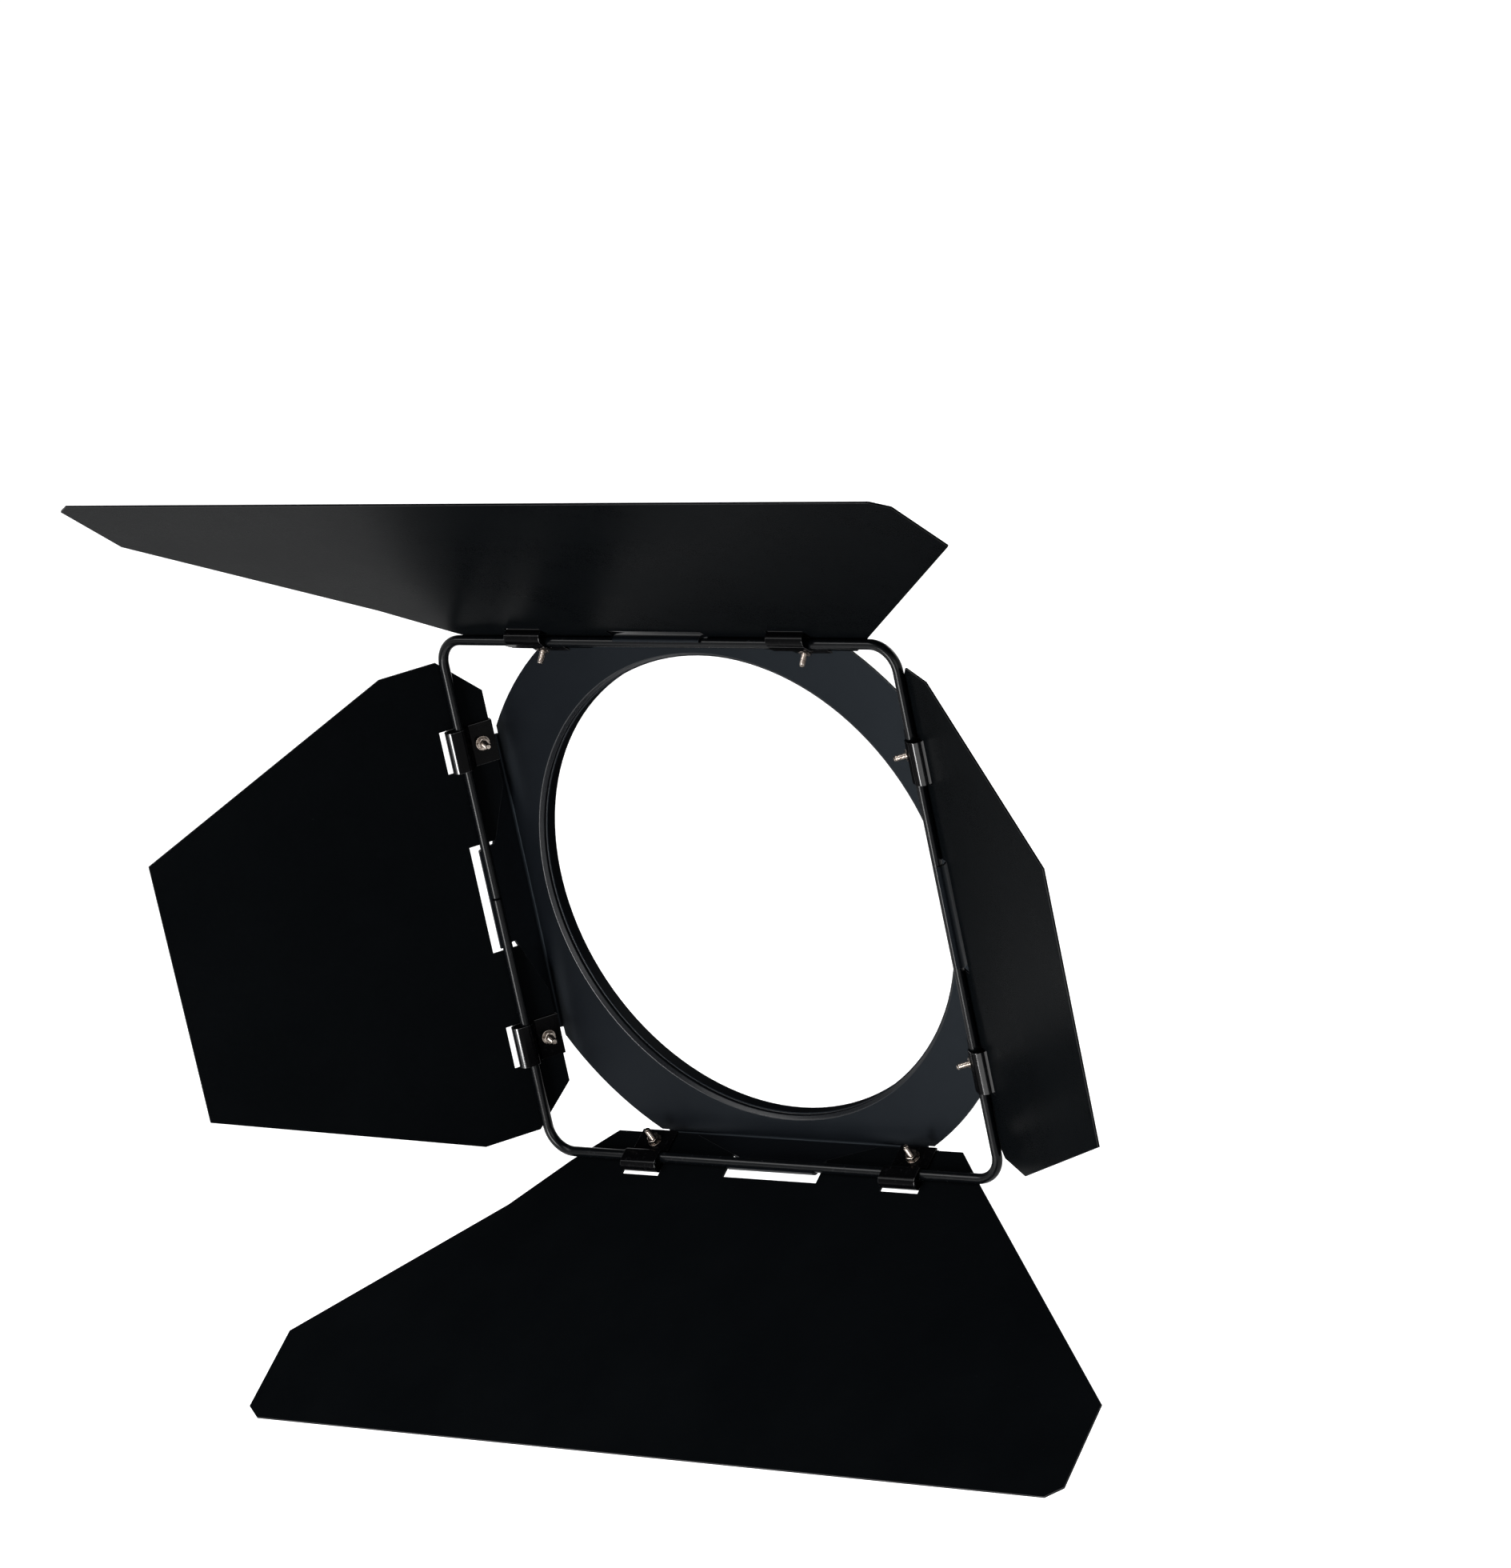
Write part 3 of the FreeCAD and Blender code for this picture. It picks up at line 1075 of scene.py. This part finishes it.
@dataclass
class Door:
    """One leaf with its two strap clips and their fasteners.

    Attributes:
        side: Side of the rod frame that carries it.
        clips: Names of its clips.
        turns: Turns of the two screws and nuts about their own axes, in radians.
        clip_stretch: How far the bend of a clip is moved away from the rod.
        clip_bend: Where the bend begins, measured from the rod's axis.
        highlight_from: How squarely a face of a bend has to look away from the rod to get the
        paler, glossier enamel that paints a highlight stripe on it, from 0 for all of them
        to 1 for none.
        leaf_rounding: Rounding of the leaf's edges.
        clip_rounding: Rounding of the clips' edges.
    """

    side: str
    clips: Tuple[str, str]
    turns: Tuple[float, float]
    clip_stretch: float = 2.0 * MM
    clip_bend: float = 1.8 * MM
    highlight_from: float = 1.0
    leaf_rounding: float = 0.2 * MM
    clip_rounding: float = 0.18 * MM

    def build(self, fasteners: Mapping[Kind, bpy.types.Object]) -> None:
        """Build the leaf, the clips and the fasteners.

        Args:
            fasteners: The master of each kind of fastener.
        """
        body = self.side + "_door"
        leaf = rounded_copy(self.side + "_leaf", self.leaf_rounding)
        dress(leaf, Finish.LEAF, body, [self.side + "_leaf"])
        sheet = self.sheet_frame()
        into_sheet = sheet.inverted()

        def stretch() -> None:
            """Move the bend of a clip further from the rod."""
            select_where(lambda v: (into_sheet @ v.co).y < -self.clip_bend, "VERT")
            bpy.ops.transform.translate(value=sheet.to_3x3() @ Vector((0, -self.clip_stretch, 0)))

        for clip in self.clips:
            node = f"{self.side}_clip_{clip}"
            strap = rounded_copy(node, self.clip_rounding, shape=stretch)
            # Bend faces that turn towards the front strip lamp get the paler, glossier clip enamel: a painted
            # highlight stripe, set per door.
            for face in strap.data.polygons:
                if self.in_painted_highlight(into_sheet @ face.center, into_sheet.to_3x3() @ face.normal):
                    face.material_index = 1
            dress(strap, Finish.CLIP, body, [node])
        for kind, master in fasteners.items():
            node = f"{self.side}_{kind.value}"
            copies = [copied(master, sheet @ Matrix.Translation(place)
                             @ Matrix.Rotation(turn, 4, "Z"))
                      for place, turn in zip(self.places(node, kind, sheet), self.turns)]
            piece = joined(node + "_dressed", copies)
            smooth(piece)
            dress(piece, Finish.HARDWARE, body, [node])

    def in_painted_highlight(self, centre: Vector, normal: Vector) -> bool:
        """Tell whether a face of a clip, in the leaf's frame, is on the outside of its bend and turns far enough
        from the rod to carry the painted highlight stripe.

        Args:
            centre: Middle of the face.
            normal: Its normal.

        Returns:
            Whether the face gets the paler, glossier enamel of the painted highlight.
        """
        return centre.y < -self.clip_bend and -normal.y > self.highlight_from

    def sheet_frame(self) -> Matrix:
        """Frame of the leaf: X along the rod, Z out of the leaf's outer face, on the rod's axis.

        Returns:
            The frame.
        """
        hinge = next(j for j in frame["joints"] if j["name"] == self.side + "_hinge")
        origin = Vector(hinge["pos_m"])
        along = -Vector(hinge["axis"])
        faces = frame["nodes"][self.side + "_leaf"].data.polygons
        outward = max(faces, key=lambda f: f.area).normal.normalized()
        if outward.dot(Vector((origin.x, 0, origin.z))) < 0:
            outward = -outward
        turned = Matrix((along, outward.cross(along), outward)).transposed().to_4x4()
        return Matrix.Translation(origin) @ turned

    def places(self, node: str, kind: Kind, sheet: Matrix) -> List[Vector]:
        """Places of a node's two fasteners in the leaf's frame, in the order of the turns.

        Args:
            node: The node.
            kind: What kind of fastener it holds.
            sheet: Frame of the leaf.

        Returns:
            The two places.
        """
        points = [sheet.inverted() @ v.co for v in frame["nodes"][node].data.vertices]
        found = []
        for sign in (-1, 1):
            own = [p for p in points if p.x * sign > 0]
            middle = [(min(p[i] for p in own) + max(p[i] for p in own)) / 2 for i in (0, 1)]
            level = max(p.z for p in own) - Screw().head_height if kind is Kind.SCREW else min(
                p.z for p in own)
            found.append(Vector((*middle, level)))
        return found


# ---------------------------------------------------------------- studio

@dataclass
class Lamp:
    """A soft rectangular lamp aimed at a point.

    Attributes:
        name: Name of the lamp.
        place: Where it stands.
        size: Width and height.
        power: Power in watts.
        aim: The point that it faces.
        colour: Colour of its light.
    """

    name: str
    place: Tuple[float, float, float]
    size: Tuple[float, float]
    power: float
    aim: Tuple[float, float, float] = (0.0, -0.08, 0.0)
    colour: Colour = (1.0, 1.0, 1.0)

    def build(self) -> None:
        """Add the lamp."""
        data = bpy.data.lights.new(self.name, "AREA")
        data.shape = "RECTANGLE"
        data.size, data.size_y = self.size
        data.energy = self.power
        data.color = self.colour
        lamp = bpy.data.objects.new(self.name, data)
        lamp.visible_camera = False
        lamp.location = self.place
        beam = Vector(self.aim) - Vector(self.place)
        lamp.rotation_euler = beam.to_track_quat("-Z", "Y").to_euler()
        bpy.context.scene.collection.objects.link(lamp)


@dataclass
class Studio:
    """Floor, surroundings, lamps and camera.

    Attributes:
        floor_drop, floor_radius, floor_sides, floor_colour: The floor below the object.
        floor_glow: Strength of the white that the floor shows besides the lamps' light.
        ambient: Strength of the even light from all round.
        horizon, horizon_height: Strength of the surround, and the height up to which it stays.
        ceiling, ceiling_height: Strength of the ceiling, and the height from which it holds.
        camera_place, camera_turn, lens, sensor: The camera, turned in degrees.
        lamps: The soft lamps.
        sun_strength, sun_angle, sun_from: The wide light from above.
        flag_radius, flag_place, flag_sides, flag_colour: The dark glowing card behind the aperture, a painted dark
        reflection.
    """

    floor_drop: float = 0.30
    floor_radius: float = 16.0
    floor_sides: int = 96
    floor_colour: Colour = (0.80, 0.80, 0.80)
    floor_glow: float = 0.66
    ambient: float = 0.24
    horizon: float = 1.0
    horizon_height: float = 0.30
    ceiling: float = 0.03
    ceiling_height: float = 0.62
    camera_place: Tuple[float, float, float] = (1.8727, -2.3271, 0.9908)
    camera_turn: Tuple[float, float, float] = (72.1374, 11.4255, 34.8825)
    lens: float = 153.59
    sensor: float = 36.0
    lamps: List[Lamp] = field(default_factory=lambda: [
        Lamp("key_softbox", (-1.5, -1.7, 1.5), (1.1, 0.8), 26.0),
        Lamp("front_strip", (-0.20, -1.25, -0.17), (0.38, 0.66), 22.0),
        Lamp("right_fill", (2.0, -1.7, 0.35), (1.2, 1.2), 11.0),
        Lamp("back_fill", (0.7, 2.4, 1.1), (1.6, 1.2), 24.0),
    ])
    sun_strength: float = 1.1
    sun_angle: float = 35.0
    sun_from: Tuple[float, float, float] = (-0.35, -0.55, 1.0)
    flag_radius: float = 0.15
    flag_place: float = 0.045
    flag_sides: int = 64
    flag_colour: Colour = (0.02, 0.02, 0.02)

    def build(self) -> None:
        """Build the whole studio."""
        self.floor()
        self.world()
        self.sun()
        self.flag()
        for lamp in self.lamps:
            lamp.build()
        self.camera()
        bpy.context.scene.view_settings.view_transform = "Standard"

    def floor(self) -> None:
        """Large pale floor below the object."""
        low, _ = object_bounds()
        deselect_all()
        bpy.ops.mesh.primitive_circle_add(vertices=self.floor_sides, radius=self.floor_radius,
                                          fill_type="NGON",
                                          location=(0, 0, low.z - self.floor_drop))
        floor = bpy.context.object
        floor.name = "studio_floor"
        made = bpy.data.materials.new("pale_floor")
        graph = Graph(made)
        glow = graph.node("ShaderNodeEmission", {}, {
            "Color": WHITE, "Strength": graph.seen() * self.floor_glow})
        matt = graph.node("ShaderNodeBsdfDiffuse", {}, {"Color": (*self.floor_colour, 1)})
        graph.finish(graph.node("ShaderNodeAddShader", {}, {0: matt, 1: glow}))
        floor.data.materials.append(made)
        floor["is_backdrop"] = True

    def world(self) -> None:
        """Even light, with a white surround near the horizon and a dim ceiling to look at."""
        world = bpy.data.worlds.new("surround")
        bpy.context.scene.world = world
        graph = Graph(world)
        way = graph.node("ShaderNodeTexCoord", {}, {}, "Generated")
        height = graph.node("ShaderNodeSeparateXYZ", {}, {0: way}, "Z")
        shade = graph.ramp(height, (self.horizon_height, self.horizon),
                           (self.ceiling_height, self.ceiling))
        seen = graph.seen()
        strength = seen * shade + (1.0 - seen) * self.ambient
        sky = graph.node("ShaderNodeBackground", {}, {"Color": WHITE, "Strength": strength})
        graph.finish(sky, "ShaderNodeOutputWorld")

    def sun(self) -> None:
        """Wide soft light from above, even over the whole floor."""
        data = bpy.data.lights.new("sky_light", "SUN")
        data.energy = self.sun_strength
        data.angle = math.radians(self.sun_angle)
        lamp = bpy.data.objects.new("sky_light", data)
        lamp.rotation_euler = Vector(self.sun_from).to_track_quat("Z", "Y").to_euler()
        bpy.context.scene.collection.objects.link(lamp)

    def flag(self) -> None:
        """Dark glowing card where the lantern would stand, seen only in reflections, so it paints dark reflections
        into the leaves.
        """
        deselect_all()
        bpy.ops.mesh.primitive_circle_add(vertices=self.flag_sides, radius=self.flag_radius,
                                          fill_type="NGON", location=(0, self.flag_place, 0),
                                          rotation=(QUARTER_TURN, 0, 0))
        card = bpy.context.object
        card.name = "dark_flag"
        # Faint emission that only glossy rays see: a painted dark reflection.
        made = bpy.data.materials.new("painted_dark_reflection")
        graph = Graph(made)
        glow = (*self.flag_colour, 1.0)
        graph.finish(graph.node("ShaderNodeEmission", {}, {"Color": glow}))
        card.data.materials.append(made)
        for ray in ("camera", "diffuse", "transmission", "volume_scatter", "shadow"):
            setattr(card, "visible_" + ray, False)
        card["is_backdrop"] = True

    def camera(self) -> None:
        """Camera with a long lens, in front, to the right and above."""
        data = bpy.data.cameras.new("camera")
        data.sensor_fit = "AUTO"
        data.sensor_width = self.sensor
        data.lens = self.lens
        camera = bpy.data.objects.new("camera", data)
        camera.location = self.camera_place
        camera.rotation_euler = [math.radians(angle) for angle in self.camera_turn]
        bpy.context.scene.collection.objects.link(camera)
        bpy.context.scene.camera = camera


MATERIALS: Dict[Finish, bpy.types.Material] = {}
EDGE_MATERIALS: Dict[Finish, bpy.types.Material] = {}
DOORS = [Door("top", ("left", "right"), (0.3, 1.1)), Door("bottom", ("right", "left"), (0.5, 1.4)),
         # The side doors' last field sets how much of each clip's bend gets the painted highlight stripe.
         Door("right", ("upper", "lower"), (0.8, 0.1), highlight_from=0.78),
         Door("left", ("lower", "upper"), (1.2, 0.2), clip_stretch=1.2 * MM, highlight_from=0.5)]


def main() -> None:
    """Build every piece in order, then the studio."""
    logging.basicConfig(level=logging.INFO, format="%(name)s: %(message)s")
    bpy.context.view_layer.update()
    MATERIALS.update({finish: recipe.material() for finish, recipe in FINISHES.items()})
    EDGE_MATERIALS.update({finish: recipe.material() for finish, recipe in EDGES.items()})
    Carrier().build()
    fasteners = {Kind.SCREW: Screw().build(), Kind.WASHER: Washer().build(),
                 Kind.NUT: Nut().build()}
    for door in DOORS:
        door.build(fasteners)
    for master in fasteners.values():
        bpy.data.objects.remove(master)
    Studio().build()


if __name__ == "__main__":
    main()
